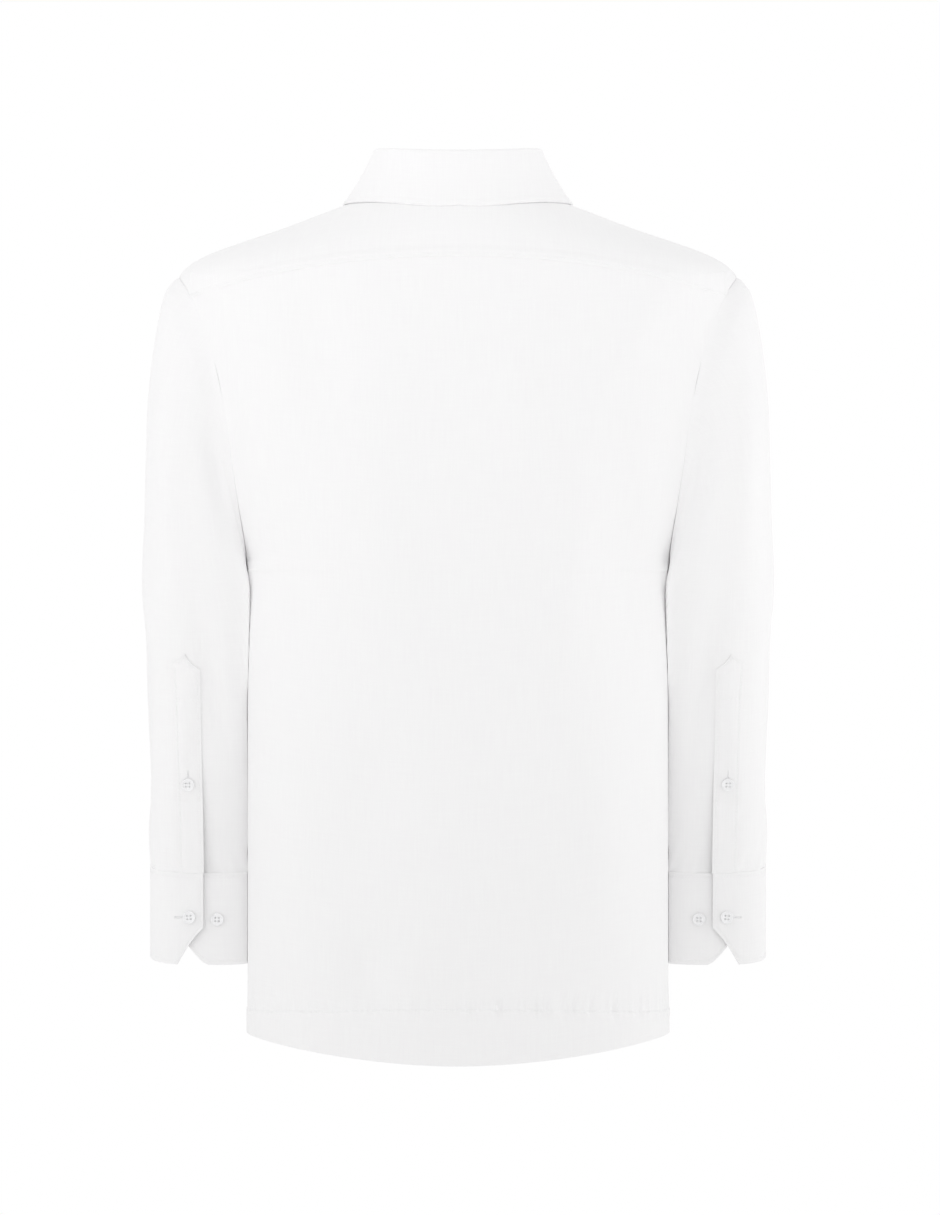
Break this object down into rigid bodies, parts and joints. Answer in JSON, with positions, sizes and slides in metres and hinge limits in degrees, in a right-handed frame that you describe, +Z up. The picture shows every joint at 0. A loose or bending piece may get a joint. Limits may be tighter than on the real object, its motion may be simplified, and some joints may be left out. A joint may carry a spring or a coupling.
{
  "type": "long-sleeved guayabera shirt",
  "caption": "White linen guayabera shirt, long-sleeved and buttoned, filled out as worn and hollow, with yoke, collar, button band and cuffs.",
  "frame": {"origin": "middle of the neck opening, level with the shoulders beside the collar, where the wearer holds the shirt", "axes": "+Z up, the front faces -Y, the wearer's left is +X"},
  "size_m": [0.566, 0.2838, 0.816],
  "materials": {
    "linen": "plain weave white linen, soft and matt",
    "button": "white resin, satin"
  },
  "bodies": {
    "root": {"back_panel": "linen", "back_yoke": "linen", "front_left": "linen", "front_right": "linen", "front_button_band": "linen", "collar_stand": "linen", "collar_leaf": "linen", "sleeve_left": "linen", "sleeve_right": "linen", "sleeve_placket_left": "linen", "sleeve_placket_right": "linen", "cuff_left": "linen", "cuff_right": "linen", "button_stand": "button", "button_front_1": "button", "button_front_2": "button", "button_front_3": "button", "button_front_4": "button", "button_front_5": "button", "button_front_6": "button", "button_placket_left": "button", "button_placket_right": "button", "button_cuff_over_left": "button", "button_cuff_over_right": "button", "button_cuff_under_left": "button", "button_cuff_under_right": "button"}
  },
  "joints": []
}
